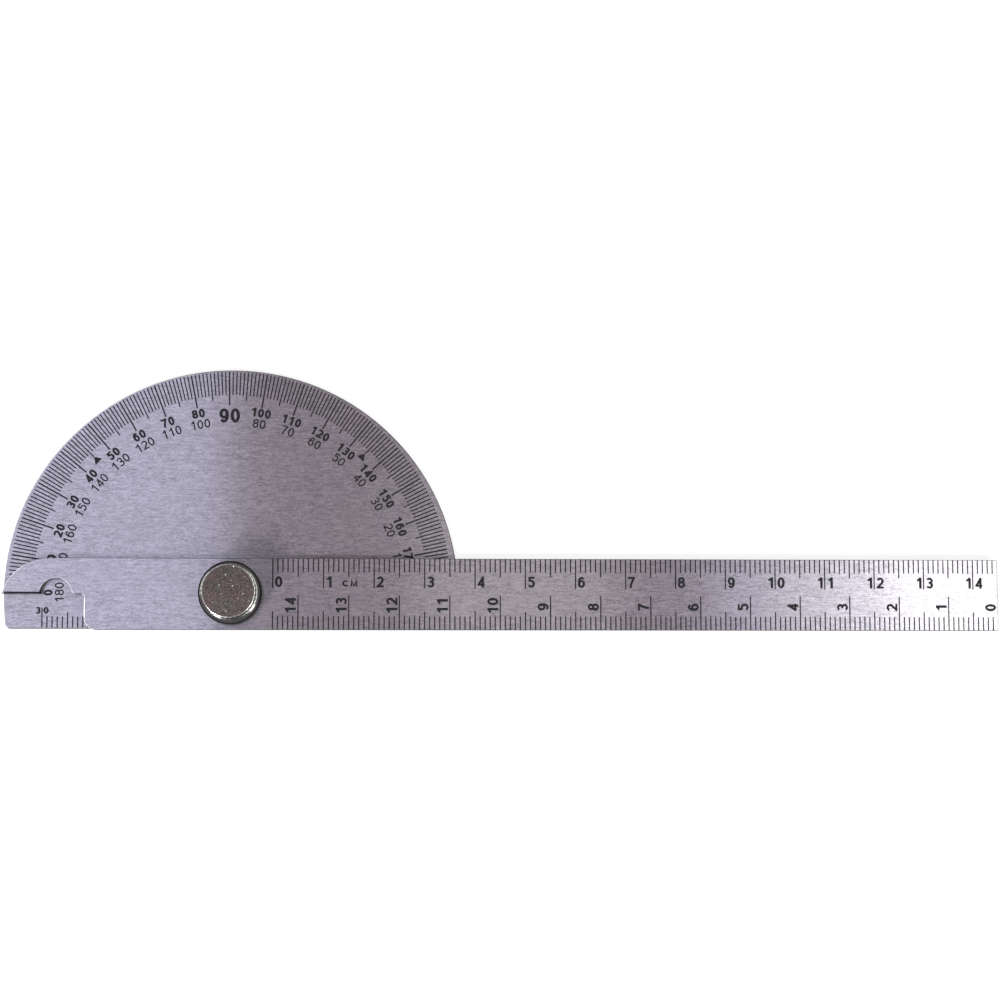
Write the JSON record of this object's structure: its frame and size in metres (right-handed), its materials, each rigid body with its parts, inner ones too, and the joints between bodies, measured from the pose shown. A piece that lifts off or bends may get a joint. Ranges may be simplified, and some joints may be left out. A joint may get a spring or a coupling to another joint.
{
  "type": "bevel protractor",
  "caption": "Half-round steel protractor with a swinging ruler arm, a pointer at the degree scale and a knurled thumb nut that clamps the arm.",
  "frame": {"origin": "on the pivot axis, in the plate's back face", "axes": "+X along the arm from the pivot to its square end at 0 degrees, +Y towards the 90 degree mark, +Z out of the marked faces"},
  "size_m": [0.198, 0.0519, 0.0131],
  "materials": {
    "plate_steel": "brushed stainless with black etched marks",
    "arm_steel": "brushed stainless with black etched marks",
    "stud_steel": "turned and faced flush",
    "washer_brass": "rolled strip",
    "nut_plating": "nickel plated, polished skirt, grained top",
    "ink": "black marking fill"
  },
  "bodies": {
    "head": {"protractor_plate": "plate_steel", "pivot_stud": "stud_steel", "friction_washer": "washer_brass"},
    "arm": {"ruler_arm": "arm_steel"},
    "washer": {"captive_washer": "nut_plating"},
    "nut": {"thumb_nut": "nut_plating"}
  },
  "joints": [
    {"name": "arm_swing", "type": "hinge", "parent": "head", "child": "arm", "pos_m": [0, 0, 0.0021], "axis": [0, 0, 1], "continuous": true},
    {"name": "washer_lift", "type": "slide", "parent": "head", "child": "washer", "axis": [0, 0, 1], "range_m": [0, 0.00141]},
    {"name": "nut_turn", "type": "hinge", "parent": "washer", "child": "nut", "pos_m": [0, 0, 0.0031], "axis": [0, 0, 1], "range_deg": [0, 720]}
  ],
  "couplings": [
    {"joint": "washer_lift", "follows": "nut_turn", "m_per_rad": 0.00011141}
  ]
}
